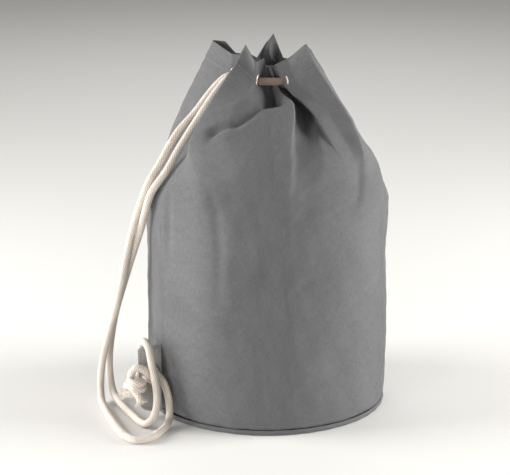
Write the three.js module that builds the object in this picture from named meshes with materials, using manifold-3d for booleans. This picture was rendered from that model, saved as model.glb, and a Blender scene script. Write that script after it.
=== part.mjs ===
// Drawstring duffle backpack: a canvas tube on a round base, gathered at the mouth by a rope.
// Millimetres, +Z up. The origin is the centre of the base, on the surface the bag stands on.
// Azimuth 0 points along +X and grows towards +Y. The side seam and its tab face the front left.
import * as THREE from "three";
import { mergeVertices } from "three/addons/utils/BufferGeometryUtils.js";
import Module from "manifold-3d";

const wasm = await Module();
wasm.setup();

// Driving dimensions.
const GAP = 0.3; // clearance between neighbouring pieces
const BAG_RADIUS = 130;
const CLOTH = 1.6; // canvas with its slack and seam allowances
const ROUND_STEPS = 48;

const BASE_PANEL_THICKNESS = 2;
const BASE_SEAM_HEIGHT = 6;
const BASE_SEAM_WIDTH = 3.4;
const WALL_BOTTOM = BASE_SEAM_HEIGHT + GAP;
const WALL_TOP = 224.4;
const COLLAR_BOTTOM = 225;

const SEAM_AZIMUTH = -150;
const SEAM_WIDTH = 14;
const SEAM_THICKNESS = 1.5;

const CORD_DIAMETER = 8;
const CORD_SIDES = 8;
const STRAP_STEPS = 60;
const EYELET_HEIGHT = 356;
const EYELET_BORE = 5.3;
const EYELET_BARREL = 6;
const EYELET_FLANGE = 8;
const EYELET_FLAT = 10; // how far the cloth stays flat on each side of an eyelet
const FLANGE_THICKNESS = 0.9;
const EYELET_STEPS = 14;
const CLOTH_TO_FLANGE = 0.5;

const TAB_PROJECTION = 28;
const TAB_LOW = 6.5;
const TAB_HIGH = 78.5;
const TAB_LOW_ROUND = 16; // radius of its lower outer corner
const TAB_HIGH_ROUND = 3;
const TAB_THICKNESS = 2.4;
const TAB_EYELET_HEIGHT = 47.3;
const TAB_EYELET_OUT = 14.5;
const TAB_EYELET_BORE = 9;
const TAB_EYELET_BARREL = 9.8;
const TAB_EYELET_FLANGE = 12.4;
const TAB_EYELET_STEPS = 20;
const KNOT_RADIUS = 10.5;

// Colours of the real materials.
const canvas = new THREE.MeshStandardMaterial({ color: "#757472", roughness: 0.95, metalness: 0 });
const canvasInside = new THREE.MeshStandardMaterial({ color: "#686765", roughness: 0.95, metalness: 0 });
const rope = new THREE.MeshStandardMaterial({ color: "#dcd2c6", roughness: 0.9, metalness: 0 });
const nickel = new THREE.MeshStandardMaterial({ color: "#b9b4ac", roughness: 0.3, metalness: 1 });

const bag = new THREE.Group();
bag.name = "drawstring_backpack";

const radians = THREE.MathUtils.degToRad;

function atAzimuth(azimuth, radius, height) {
  const angle = radians(azimuth);
  return new THREE.Vector3(radius * Math.cos(angle), radius * Math.sin(angle), height);
}

function addPiece(name, geometry, material, parent = bag) {
  const mesh = new THREE.Mesh(geometry, material);
  mesh.name = name;
  parent.add(mesh);
  return mesh;
}

function toSolid(geometry) {
  const bare = geometry.index ? geometry.toNonIndexed() : geometry.clone();
  bare.deleteAttribute("normal");
  bare.deleteAttribute("uv");
  const merged = mergeVertices(bare, 1e-4);
  const mesh = new wasm.Mesh({
    numProp: 3,
    vertProperties: new Float32Array(merged.attributes.position.array),
    triVerts: new Uint32Array(merged.index.array),
  });
  return new wasm.Manifold(mesh);
}

function toGeometry(solid) {
  const mesh = solid.getMesh();
  const geometry = new THREE.BufferGeometry();
  geometry.setAttribute("position", new THREE.BufferAttribute(new Float32Array(mesh.vertProperties), 3));
  geometry.setIndex(new THREE.BufferAttribute(new Uint32Array(mesh.triVerts), 1));
  geometry.computeVertexNormals();
  return geometry;
}

// A ring or disc turned about +Z, from its closed outline of [radius, height] points.
function turned(outline, steps = ROUND_STEPS) {
  const points = [...outline, outline[0]].map(([radius, height]) => new THREE.Vector2(radius, height));
  return new THREE.LatheGeometry(points, steps).rotateX(Math.PI / 2);
}

function rectangleOutline(innerRadius, outerRadius, low, high) {
  return [
    [innerRadius, low],
    [outerRadius, low],
    [outerRadius, high],
    [innerRadius, high],
  ];
}

// A round cord of CORD_DIAMETER along a curve.
function cordTube(curve, steps) {
  const section = new THREE.Shape();
  for (let i = 0; i < CORD_SIDES; i++) {
    const angle = (2 * Math.PI * i) / CORD_SIDES;
    const x = (CORD_DIAMETER / 2) * Math.cos(angle);
    const y = (CORD_DIAMETER / 2) * Math.sin(angle);
    if (i === 0) section.moveTo(x, y);
    else section.lineTo(x, y);
  }
  section.closePath();
  return new THREE.ExtrudeGeometry(section, { steps, bevelEnabled: false, extrudePath: curve });
}

function smoothCurve(points) {
  return new THREE.CatmullRomCurve3(
    points.map((p) => (p.isVector3 ? p : new THREE.Vector3(...p))),
    false,
    "centripetal",
  );
}

// Turns a piece made about +Z so that it lies about a horizontal axis at a place.
function aboutAxis(geometry, place, axis) {
  const turn = new THREE.Quaternion().setFromUnitVectors(new THREE.Vector3(0, 0, 1), axis);
  return geometry.applyQuaternion(turn).translate(place.x, place.y, place.z);
}

// ---- Base -----------------------------------------------------------------------------------
addPiece(
  "base_panel",
  new THREE.CylinderGeometry(
    BAG_RADIUS - BASE_SEAM_WIDTH - GAP,
    BAG_RADIUS - BASE_SEAM_WIDTH - GAP,
    BASE_PANEL_THICKNESS,
    ROUND_STEPS,
  )
    .rotateX(Math.PI / 2)
    .translate(0, 0, BASE_PANEL_THICKNESS / 2),
  canvas,
);
addPiece(
  "base_seam",
  turned(rectangleOutline(BAG_RADIUS - BASE_SEAM_WIDTH, BAG_RADIUS, 0, BASE_SEAM_HEIGHT)),
  canvas,
);

// ---- Wall and side seam ---------------------------------------------------------------------
addPiece(
  "body_panel",
  turned(rectangleOutline(BAG_RADIUS - CLOTH, BAG_RADIUS, WALL_BOTTOM, WALL_TOP)),
  canvas,
);

// The side seam's allowance lies flat against the inside of the wall.
function sideSeam() {
  const outer = BAG_RADIUS - CLOTH - 2 * GAP;
  const inner = outer - SEAM_THICKNESS;
  const half = SEAM_WIDTH / 2 / outer;
  const outline = new THREE.Shape();
  outline.absarc(0, 0, outer, -half, half, false);
  outline.absarc(0, 0, inner, half, -half, true);
  outline.closePath();
  return new THREE.ExtrudeGeometry(outline, {
    depth: WALL_TOP - WALL_BOTTOM - 4,
    bevelEnabled: false,
    curveSegments: 4,
  })
    .rotateZ(radians(SEAM_AZIMUTH))
    .translate(0, 0, WALL_BOTTOM + 2);
}
addPiece("side_seam", sideSeam(), canvasInside);

// ---- Gathered collar ------------------------------------------------------------------------
// The eight eyelets are evenly spaced round the cloth. The rope passes outside the cloth between
// the two eyelets of a valley and inside it between the two eyelets of a pleat, so the gathered
// cloth has four valleys and four pleats. Each valley's eyelets stand halfSpan degrees from it.
const CLOTH_START = -85;
const CLOTH_STEP = 22.5;
const valleys = [
  { azimuth: -85, halfSpan: 17, eyeletRadius: 45, bottomRadius: 15 }, // front
  { azimuth: 22, halfSpan: 17, eyeletRadius: 45, bottomRadius: 15 }, // right
  { azimuth: 112, halfSpan: 17, eyeletRadius: 45, bottomRadius: 15 }, // back
  { azimuth: 193, halfSpan: 25, eyeletRadius: 33, bottomRadius: 10 }, // left
];
const pleats = [
  { name: "right", azimuth: -35, apexAzimuth: -38, apexRadius: 48, apexHeight: 387 },
  { name: "back", azimuth: 57, apexAzimuth: 80, apexRadius: 48, apexHeight: 392 },
  { name: "left", azimuth: 146, apexAzimuth: 148, apexRadius: 66, apexHeight: 387 },
  { name: "front", azimuth: 235, apexAzimuth: 235, apexRadius: 39, apexHeight: 391 },
];

// Each line runs up the cloth from the wall, as [radius, height] at four places. Above them it
// passes the eyelets' level and ends at the mouth's edge.
const RIDGE_PROFILE = [
  [130, COLLAR_BOTTOM],
  [130.5, 256],
  [125, 290],
  [103, 325],
];
const EYELET_PROFILE = [
  [130, COLLAR_BOTTOM],
  [120, 254],
  [94, 283],
  [66, 316],
];
const VALLEY_PROFILE = [
  [130, COLLAR_BOTTOM],
  [115, 254],
  [80, 284],
  [42, 318],
];
const VALLEY_EYELET_HEIGHT = 349;
const VALLEY_TOP_HEIGHT = 367;
const EYELET_TOP_HEIGHT = 376;
const EYELET_DRAWN_IN = 0.91; // the hem's radius above an eyelet, as a share of the eyelet's own

// Eyelet places, in order of azimuth, starting at the front valley's second eyelet.
const eyeletAzimuths = valleys.flatMap((valley, i) => {
  const next = valleys[(i + 1) % 4];
  const turn = i === 3 ? 360 : 0;
  return [valley.azimuth + valley.halfSpan, next.azimuth - next.halfSpan + turn];
});
const eyeletPlaces = eyeletAzimuths.map((azimuth, i) => {
  const valley = valleys[Math.ceil(i / 2) % 4];
  return atAzimuth(azimuth, valley.eyeletRadius, EYELET_HEIGHT);
});

// The two ends of the rope leave the mouth through the left valley's eyelets.
const BACK_EXIT = 5; // index of the eyelet that the back strap leaves by
const FRONT_EXIT = 6;
const BACK_EXIT_AZIMUTH = 242; // the directions in which the two ends come out
const FRONT_EXIT_AZIMUTH = 145;

// The two shoulder straps, from their eyelets down the left side, over the floor and up to the tab.
const backStrapRoute = [
  [-44.5, -5.5, 354],
  [-53.5, -9.5, 346.5],
  [-64, -14.5, 334.5],
  [-75, -20.5, 320.5],
  [-95, -34, 299],
  [-111, -48, 272],
  [-124, -57, 250.5],
  [-132.5, -53, 229],
  [-140.5, -47, 204],
  [-148.5, -43, 172],
  [-155, -39, 141],
  [-163.5, -32, 105],
  [-171.5, -25, 78],
  [-177.5, -19, 54],
  [-181.5, -17, 32],
  [-182, -22.5, 15],
  [-179.5, -38, 6],
  [-174, -60, 4.6],
  [-166.5, -86, 4.6],
  [-158.5, -110, 4.6],
  [-152, -128, 4.6],
  [-145, -142, 4.6],
  [-134, -151.5, 4.6],
  [-119.2, -145, 4.6],
  [-111.5, -130, 4.6],
  [-106, -115, 4.6],
  [-103, -101, 8],
  [-103, -92.5, 19],
  [-105.5, -88, 33],
  [-110.5, -85, 44.5],
  [-116.5, -81, 50.3],
  [-121, -77.6, 51.6],
];
const frontStrapRoute = [
  [-42.5, -17.5, 354],
  [-50, -23, 346.5],
  [-59.5, -30, 334.5],
  [-71, -37.5, 318],
  [-90.5, -48, 288.5],
  [-105, -61.5, 264.5],
  [-120, -63.5, 243.5],
  [-127, -57, 223],
  [-133.2, -46.5, 200],
  [-143.5, -36.5, 168],
  [-152, -31, 141],
  [-162.8, -23.6, 105],
  [-169, -15, 76],
  [-172.5, -9, 52],
  [-173, -8.5, 31],
  [-171, -14, 16.5],
  [-166.5, -26, 7.5],
  [-159, -43.5, 4.7],
  [-150.5, -64, 4.6],
  [-141, -84, 4.6],
  [-134.5, -98, 4.6],
  [-128, -107, 5],
  [-120.5, -110, 11],
  [-116, -107, 21.5],
  [-115.5, -100.5, 35],
  [-118, -95.5, 50],
  [-121.9, -88.9, 68],
  [-124.4, -84.5, 80],
  [-129.5, -75, 85],
  [-133, -65.5, 80.5],
  [-132.5, -58.5, 69],
  [-131, -57.5, 56],
  [-128.5, -62, 46.5],
  [-126.5, -67.5, 43],
];

// Each eyelet faces along the rope, in the direction of growing azimuth.
const eyeletAxes = eyeletPlaces.map((place, i) => {
  if (i === BACK_EXIT) return atAzimuth(BACK_EXIT_AZIMUTH, 1, 0);
  if (i === FRONT_EXIT) return atAzimuth(FRONT_EXIT_AZIMUTH + 180, 1, 0);
  const before = eyeletPlaces[(i + 7) % 8];
  const after = eyeletPlaces[(i + 1) % 8];
  return after.clone().sub(before).normalize();
});

function clothLine(profile, baseAzimuth, topAzimuth, level, top) {
  const low = profile.map(([radius, height], row) => {
    const azimuth = THREE.MathUtils.lerp(baseAzimuth, topAzimuth, row / (profile.length - 1));
    return atAzimuth(azimuth, radius, height);
  });
  return smoothCurve([...low, level, top]);
}

function eyeletLines(i, baseAzimuth) {
  const place = eyeletPlaces[i];
  const outward = eyeletAxes[i].clone().cross(new THREE.Vector3(0, 0, 1));
  const top = new THREE.Vector3(place.x * EYELET_DRAWN_IN, place.y * EYELET_DRAWN_IN, EYELET_TOP_HEIGHT);
  const flatAzimuth = THREE.MathUtils.radToDeg(EYELET_FLAT / BAG_RADIUS);
  const topAzimuth = eyeletAzimuths[i];
  return [-1, 0, 1].map((side) => {
    const level = place.clone().addScaledVector(outward, side * EYELET_FLAT);
    const edge = top.clone().addScaledVector(outward, side * EYELET_FLAT);
    const wayOut = i % 2 === 0 ? side : -side;
    const profile = EYELET_PROFILE.map(([radius, height], row) => {
      return [radius + (side * EYELET_FLAT * row) / 4, height];
    });
    return clothLine(profile, baseAzimuth + wayOut * flatAzimuth, topAzimuth, level, edge);
  });
}

const lines = [];
for (let k = 0; k < 4; k++) {
  const valley = valleys[k];
  const pleat = pleats[k];
  const start = CLOTH_START + 4 * CLOTH_STEP * k;
  const valleyLevel = atAzimuth(valley.azimuth, valley.bottomRadius, VALLEY_EYELET_HEIGHT);
  const valleyTop = atAzimuth(valley.azimuth, valley.bottomRadius - 1, VALLEY_TOP_HEIGHT);
  const ridgeLevel = atAzimuth(pleat.apexAzimuth, pleat.apexRadius + 15, pleat.apexHeight - 13);
  const ridgeTop = atAzimuth(pleat.apexAzimuth, pleat.apexRadius, pleat.apexHeight);
  lines.push(clothLine(VALLEY_PROFILE, start, valley.azimuth, valleyLevel, valleyTop));
  lines.push(...eyeletLines(2 * k, start + CLOTH_STEP));
  lines.push(clothLine(RIDGE_PROFILE, start + 2 * CLOTH_STEP, pleat.azimuth, ridgeLevel, ridgeTop));
  lines.push(...eyeletLines(2 * k + 1, start + 3 * CLOTH_STEP).reverse());
}
const LINES_PER_PLEAT = lines.length / 4;
const ROWS = 9;
const COLUMNS = 20;

// A cloth panel from a grid of places on its middle surface, each with the direction along its
// row, grown half its thickness each way.
function panelFromGrid(grid) {
  const columns = grid.length - 1;
  const rows = grid[0].length - 1;
  const faces = [1, -1].map((side) => {
    return grid.map((column, i) => {
      return column.map((point, j) => {
        const above = grid[i][Math.min(j + 1, rows)].place;
        const below = grid[i][Math.max(j - 1, 0)].place;
        const normal = point.along.clone().cross(above.clone().sub(below)).normalize();
        return point.place.clone().addScaledVector(normal, (side * CLOTH) / 2);
      });
    });
  });
  const vertices = faces.flat(2);
  const faceSize = (columns + 1) * (rows + 1);
  const corner = (side, i, j) => side * faceSize + i * (rows + 1) + j;
  const index = [];
  const quad = (a, b, c, d) => index.push(a, b, c, a, c, d);
  for (let i = 0; i < columns; i++) {
    for (let j = 0; j < rows; j++) {
      quad(corner(0, i, j), corner(0, i + 1, j), corner(0, i + 1, j + 1), corner(0, i, j + 1));
      quad(corner(1, i, j), corner(1, i, j + 1), corner(1, i + 1, j + 1), corner(1, i + 1, j));
    }
    quad(corner(1, i, 0), corner(1, i + 1, 0), corner(0, i + 1, 0), corner(0, i, 0));
    quad(corner(0, i, rows), corner(0, i + 1, rows), corner(1, i + 1, rows), corner(1, i, rows));
  }
  for (let j = 0; j < rows; j++) {
    quad(corner(0, 0, j), corner(0, 0, j + 1), corner(1, 0, j + 1), corner(1, 0, j));
    quad(corner(1, columns, j), corner(1, columns, j + 1), corner(0, columns, j + 1), corner(0, columns, j));
  }
  const geometry = new THREE.BufferGeometry();
  const positions = new Float32Array(vertices.flatMap((v) => [v.x, v.y, v.z]));
  geometry.setAttribute("position", new THREE.BufferAttribute(positions, 3));
  geometry.setIndex(index);
  return geometry;
}

// One closed loop round the cloth for each row, cut into four panels at the valleys.
const loops = [];
for (let row = 0; row <= ROWS; row++) {
  const around = lines.map((line) => line.getPoint(row / ROWS));
  loops.push(new THREE.CatmullRomCurve3(around, true, "centripetal"));
}

// The gap between one pleat's cloth and the next opens from the wall to the mouth, as a share of
// the way from one line to the next, because the cloth turns more sharply up there.
const LOW_GAP = 0.01;
const HIGH_GAP = 0.16;
function pleatGrid(k) {
  const grid = [];
  for (let column = 0; column <= COLUMNS; column++) {
    grid.push(
      loops.map((loop, row) => {
        const edge = THREE.MathUtils.lerp(LOW_GAP, HIGH_GAP, row / ROWS);
        const across = THREE.MathUtils.lerp(edge, LINES_PER_PLEAT - edge, column / COLUMNS);
        const at = (k * LINES_PER_PLEAT + across) / lines.length;
        return { place: loop.getPoint(at), along: loop.getTangent(at) };
      }),
    );
  }
  return grid;
}

// Each eyelet's hole in the cloth, with the cloth pressed flat under its flange and washer.
const EYELET_HALF = CLOTH / 2 + CLOTH_TO_FLANGE;
const HOLE_HALF = 7;
const clothHoleOutline = [
  [0, -HOLE_HALF],
  [EYELET_FLANGE + GAP, -HOLE_HALF],
  [EYELET_FLANGE + GAP, -EYELET_HALF + GAP],
  [EYELET_BARREL + GAP, -EYELET_HALF + GAP],
  [EYELET_BARREL + GAP, EYELET_HALF - GAP],
  [EYELET_FLANGE + GAP, EYELET_HALF - GAP],
  [EYELET_FLANGE + GAP, HOLE_HALF],
  [0, HOLE_HALF],
];
pleats.forEach((pleat, k) => {
  let cloth = toSolid(panelFromGrid(pleatGrid(k)));
  [2 * k, 2 * k + 1].forEach((i) => {
    const hole = turned(clothHoleOutline, EYELET_STEPS);
    cloth = cloth.subtract(toSolid(aboutAxis(hole, eyeletPlaces[i], eyeletAxes[i])));
  });
  addPiece("collar_pleat_" + pleat.name, toGeometry(cloth), canvas);
});

// ---- Mouth eyelets --------------------------------------------------------------------------
// The barrel and its flange are one pressing. The washer is clenched onto it from the other side.
const eyeletOutline = [
  [EYELET_BORE, -EYELET_HALF - FLANGE_THICKNESS],
  [EYELET_BARREL, -EYELET_HALF - FLANGE_THICKNESS],
  [EYELET_BARREL, EYELET_HALF],
  [EYELET_FLANGE, EYELET_HALF],
  [EYELET_BARREL + 1, EYELET_HALF + FLANGE_THICKNESS],
  [EYELET_BORE, EYELET_HALF + FLANGE_THICKNESS],
];
const washerOutline = rectangleOutline(
  EYELET_BARREL + GAP,
  EYELET_FLANGE,
  -EYELET_HALF - FLANGE_THICKNESS,
  -EYELET_HALF,
);
eyeletPlaces.forEach((place, i) => {
  // The flange is on the outside of the cloth, which faces the valley.
  const outside = i % 2 === 0 ? -1 : 1;
  const axis = eyeletAxes[i].clone().multiplyScalar(outside);
  addPiece("mouth_eyelet_" + (i + 1), aboutAxis(turned(eyeletOutline, EYELET_STEPS), place, axis), nickel);
  addPiece("mouth_washer_" + (i + 1), aboutAxis(turned(washerOutline, EYELET_STEPS), place, axis), nickel);
});

// ---- Rope -----------------------------------------------------------------------------------
const backExit = eyeletPlaces[BACK_EXIT];
const frontExit = eyeletPlaces[FRONT_EXIT];
const neckOrder = [];
for (let i = 0; i < 8; i++) neckOrder.push(eyeletPlaces[(FRONT_EXIT + i) % 8]);
const NECK_END = 5; // how far the neck part runs past its last eyelets
const STRAP_STRAIGHT = 4; // how far a strap runs straight before its route begins
const frontWayOut = atAzimuth(FRONT_EXIT_AZIMUTH, 1, 0);
const backWayOut = atAzimuth(BACK_EXIT_AZIMUTH, 1, 0);
const outwards = (place, way, distance) => place.clone().addScaledVector(way, distance);
const neckCurve = smoothCurve([
  outwards(frontExit, frontWayOut, NECK_END),
  outwards(frontExit, frontWayOut, NECK_END / 2),
  ...neckOrder,
  outwards(backExit, backWayOut, NECK_END / 2),
  outwards(backExit, backWayOut, NECK_END),
]);
addPiece("drawcord_neck", cordTube(neckCurve, 40), rope);

function strap(exit, way, route) {
  const start = outwards(exit, way, NECK_END + GAP);
  const straight = outwards(start, way, STRAP_STRAIGHT);
  return cordTube(smoothCurve([start, straight, ...route]), STRAP_STEPS);
}
addPiece("back_strap", strap(backExit, backWayOut, backStrapRoute), rope);
addPiece("front_strap", strap(frontExit, frontWayOut, frontStrapRoute), rope);

// ---- Tab on the side seam -------------------------------------------------------------------
// The tab is made in its own group: local X runs out from the bag, local Z is up.
const tabGroup = new THREE.Group();
tabGroup.rotation.z = radians(SEAM_AZIMUTH);
bag.add(tabGroup);

function tabOutline() {
  const inner = BAG_RADIUS + GAP;
  const outer = BAG_RADIUS + TAB_PROJECTION;
  const outline = new THREE.Shape();
  outline.moveTo(inner, TAB_LOW);
  outline.lineTo(outer - TAB_LOW_ROUND, TAB_LOW);
  outline.absarc(outer - TAB_LOW_ROUND, TAB_LOW + TAB_LOW_ROUND, TAB_LOW_ROUND, -Math.PI / 2, 0, false);
  outline.lineTo(outer, TAB_HIGH - TAB_HIGH_ROUND);
  outline.absarc(outer - TAB_HIGH_ROUND, TAB_HIGH - TAB_HIGH_ROUND, TAB_HIGH_ROUND, 0, Math.PI / 2, false);
  outline.lineTo(inner, TAB_HIGH);
  outline.closePath();
  const hole = new THREE.Path();
  hole.absarc(BAG_RADIUS + TAB_EYELET_OUT, TAB_EYELET_HEIGHT, TAB_EYELET_BARREL + GAP, 0, 2 * Math.PI, true);
  outline.holes.push(hole);
  return outline;
}
const tabGeometry = new THREE.ExtrudeGeometry(tabOutline(), {
  depth: TAB_THICKNESS,
  bevelEnabled: false,
  curveSegments: 12,
})
  .translate(0, 0, -TAB_THICKNESS / 2)
  .rotateX(Math.PI / 2);
addPiece("base_tab", tabGeometry, canvas, tabGroup);

const tabEyeletPlace = new THREE.Vector3(BAG_RADIUS + TAB_EYELET_OUT, 0, TAB_EYELET_HEIGHT);
const TAB_HALF = TAB_THICKNESS / 2 + GAP;
const tabEyeletOutline = [
  [TAB_EYELET_BORE, -TAB_HALF - FLANGE_THICKNESS],
  [TAB_EYELET_BARREL, -TAB_HALF - FLANGE_THICKNESS],
  [TAB_EYELET_BARREL, TAB_HALF],
  [TAB_EYELET_FLANGE, TAB_HALF],
  [TAB_EYELET_FLANGE - 1, TAB_HALF + FLANGE_THICKNESS],
  [TAB_EYELET_BORE, TAB_HALF + FLANGE_THICKNESS],
];
const tabWasherOutline = rectangleOutline(
  TAB_EYELET_BARREL + GAP,
  TAB_EYELET_FLANGE,
  -TAB_HALF - FLANGE_THICKNESS,
  -TAB_HALF,
);
const acrossTab = new THREE.Vector3(0, 1, 0);
const tabEyelet = turned(tabEyeletOutline, TAB_EYELET_STEPS);
const tabWasher = turned(tabWasherOutline, TAB_EYELET_STEPS);
addPiece("tab_eyelet", aboutAxis(tabEyelet, tabEyeletPlace, acrossTab), nickel, tabGroup);
addPiece("tab_washer", aboutAxis(tabWasher, tabEyeletPlace, acrossTab), nickel, tabGroup);

// ---- Knot and rope ends ---------------------------------------------------------------------
const knotPlace = new THREE.Vector3(-137, -95, 38.5);
addPiece(
  "end_knot",
  new THREE.SphereGeometry(KNOT_RADIUS, 16, 10).translate(knotPlace.x, knotPlace.y, knotPlace.z),
  rope,
);
const outerTailRoute = [
  [-150.2, -92.5, 33.6],
  [-153.6, -91.2, 32.2],
  [-158, -90, 31],
];
const lowerTailRoute = [
  [-135.5, -97.5, 25.9],
  [-134.8, -98.4, 22.5],
  [-134, -99.5, 19],
];
addPiece("rope_end_outer", cordTube(smoothCurve(outerTailRoute), 4), rope);
addPiece("rope_end_lower", cordTube(smoothCurve(lowerTailRoute), 3), rope);

export default bag;
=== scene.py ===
import math

import bpy
import numpy as np
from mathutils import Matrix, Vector


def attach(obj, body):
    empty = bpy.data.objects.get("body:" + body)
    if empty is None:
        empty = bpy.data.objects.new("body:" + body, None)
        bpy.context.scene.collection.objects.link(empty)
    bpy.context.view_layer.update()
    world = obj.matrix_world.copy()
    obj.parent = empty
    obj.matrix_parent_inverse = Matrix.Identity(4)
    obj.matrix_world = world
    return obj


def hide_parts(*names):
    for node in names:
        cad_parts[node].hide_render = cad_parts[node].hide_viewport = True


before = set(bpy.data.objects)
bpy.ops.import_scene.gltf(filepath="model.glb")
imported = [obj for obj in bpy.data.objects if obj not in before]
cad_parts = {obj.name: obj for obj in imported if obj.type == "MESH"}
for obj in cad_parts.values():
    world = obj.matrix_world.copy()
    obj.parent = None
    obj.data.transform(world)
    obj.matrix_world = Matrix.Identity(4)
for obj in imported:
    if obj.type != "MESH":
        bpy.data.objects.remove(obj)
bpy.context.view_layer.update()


# ---- Camera ---------------------------------------------------------------------------------
camera_data = bpy.data.cameras.new("camera")
camera_data.lens = 113
camera_data.sensor_width = 36
camera = bpy.data.objects.new("camera", camera_data)
camera.location = (-0.013, -1.68, 0.61)
camera.rotation_euler = (math.radians(90 - 14.4), 0, 0)
bpy.context.scene.collection.objects.link(camera)
bpy.context.scene.camera = camera


# ---- Canvas ---------------------------------------------------------------------------------
# One piece of grey cotton canvas, sewn into a tube at the side seam. Its foot is sewn to the base
# and its mouth has a double hem, which the rope draws in through eight eyelets: the cloth turns
# in at four valleys and stands up as a pleat between them.
CLOTH = 0.0009
BAG_RADIUS = 0.130
WALL_FOOT = 0.0063
SHOULDER = 0.225  # the height at which the tube starts to draw in
CLOTH_HEIGHT = 0.405
HEM_WIDTH = 0.026
SEAM_AZIMUTH = -150


def linear(colour):
    channels = [int(colour[i : i + 2], 16) / 255 for i in (1, 3, 5)]
    return [c / 12.92 if c <= 0.04045 else ((c + 0.055) / 1.055) ** 2.4 for c in channels] + [1]


def new_material(name, roughness, metallic=0.0):
    material = bpy.data.materials.new(name)
    material.use_nodes = True
    tree = material.node_tree
    shader = tree.nodes["Principled BSDF"]
    shader.inputs["Roughness"].default_value = roughness
    shader.inputs["Metallic"].default_value = metallic
    return material, tree, shader


def add_node(tree, kind, inputs, **settings):
    made = tree.nodes.new("ShaderNode" + kind)
    for name, value in settings.items():
        setattr(made, name, value)
    for socket, value in inputs.items():
        if isinstance(value, bpy.types.NodeSocket):
            tree.links.new(value, made.inputs[socket])
        else:
            made.inputs[socket].default_value = value
    return made


def woven_canvas(name, dark, light):
    """Plain-weave canvas with uneven yarns, laid out by the cloth's own metres in its UVs."""
    material, tree, shader = new_material(name, roughness=0.93)
    shader.inputs["Sheen Weight"].default_value = 0.12
    shader.inputs["Sheen Roughness"].default_value = 0.5
    shader.inputs["Specular IOR Level"].default_value = 0.25
    yarn_scale = math.pi / 10 / 0.0011  # a wave of 1.1 mm: one yarn over, one under
    cloth = add_node(tree, "UVMap", {}, uv_map="cloth").outputs["UV"]
    unevenness = add_node(tree, "TexNoise", {"Vector": cloth, "Scale": 160, "Detail": 2})
    wobble = add_node(
        tree, "VectorMath", {0: unevenness.outputs["Color"], 1: (0.0007, 0.0007, 0)}, operation="MULTIPLY"
    )
    wobbly = add_node(tree, "VectorMath", {0: cloth, 1: wobble.outputs[0]}, operation="ADD").outputs[0]
    warp = add_node(tree, "TexWave", {"Vector": wobbly, "Scale": yarn_scale}, bands_direction="X")
    weft = add_node(tree, "TexWave", {"Vector": wobbly, "Scale": yarn_scale}, bands_direction="Y")
    over = add_node(tree, "Math", {0: warp.outputs["Fac"], 1: weft.outputs["Fac"]}, operation="SUBTRACT")
    weave = add_node(tree, "Math", {0: over.outputs[0]}, operation="ABSOLUTE").outputs[0]

    along_warp = add_node(tree, "Mapping", {"Vector": cloth, "Scale": (1900, 150, 1)}).outputs[0]
    along_weft = add_node(tree, "Mapping", {"Vector": cloth, "Scale": (150, 1900, 1)}).outputs[0]
    warp_slubs = add_node(tree, "TexNoise", {"Vector": along_warp, "Scale": 1, "Detail": 2})
    weft_slubs = add_node(tree, "TexNoise", {"Vector": along_weft, "Scale": 1, "Detail": 2})
    slubs = add_node(
        tree, "Math", {0: warp_slubs.outputs["Fac"], 1: weft_slubs.outputs["Fac"]}, operation="ADD"
    ).outputs[0]
    wear = add_node(tree, "TexNoise", {"Vector": cloth, "Scale": 22, "Detail": 5, "Roughness": 0.6})
    tone = add_node(tree, "Math", {0: wear.outputs["Fac"], 1: 0.55, 2: -0.45}, operation="MULTIPLY_ADD")
    tone = add_node(tree, "Math", {0: slubs, 1: 0.80, 2: tone.outputs[0]}, operation="MULTIPLY_ADD")
    tone = add_node(tree, "Math", {0: weave, 1: 0.25, 2: tone.outputs[0]}, operation="MULTIPLY_ADD")
    colour = add_node(
        tree, "Mix", {"Factor": tone.outputs[0], 6: linear(dark), 7: linear(light)}, data_type="RGBA"
    )
    tree.links.new(colour.outputs[2], shader.inputs["Base Color"])

    height = add_node(tree, "Math", {0: slubs, 1: 0.6, 2: weave}, operation="MULTIPLY_ADD").outputs[0]
    bump = add_node(tree, "Bump", {"Height": height, "Strength": 0.7, "Distance": 0.00022})
    tree.links.new(bump.outputs["Normal"], shader.inputs["Normal"])
    return material


canvas_cloth = woven_canvas("grey canvas", dark="#434344", light="#707071")


def polar(azimuth, radius, height):
    angle = math.radians(azimuth)
    return (radius * math.cos(angle), radius * math.sin(angle), height)


# The cloth's shape is a net of control lines. Each line runs up the cloth with LEVELS places.
LEVELS = 8
RIDGE = [(0.130, 0.225), (0.131, 0.248), (0.1295, 0.270), (0.1245, 0.291), (0.1135, 0.310), (0.099, 0.329)]
EYELET = [(0.130, 0.225), (0.1255, 0.246), (0.111, 0.266), (0.093, 0.285), (0.076, 0.304), (0.060, 0.325)]
VALLEY = [(0.130, 0.225), (0.121, 0.246), (0.101, 0.268), (0.076, 0.288), (0.051, 0.309), (0.030, 0.330)]
EYELET_HEIGHT = 0.356
EYELET_FLAT = 0.010


def risen(profile, base_azimuth, top_azimuth, level, top):
    low = [
        polar(base_azimuth + (top_azimuth - base_azimuth) * row / (len(profile) - 1), radius, height)
        for row, (radius, height) in enumerate(profile)
    ]
    return low + [level, top]


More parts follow.
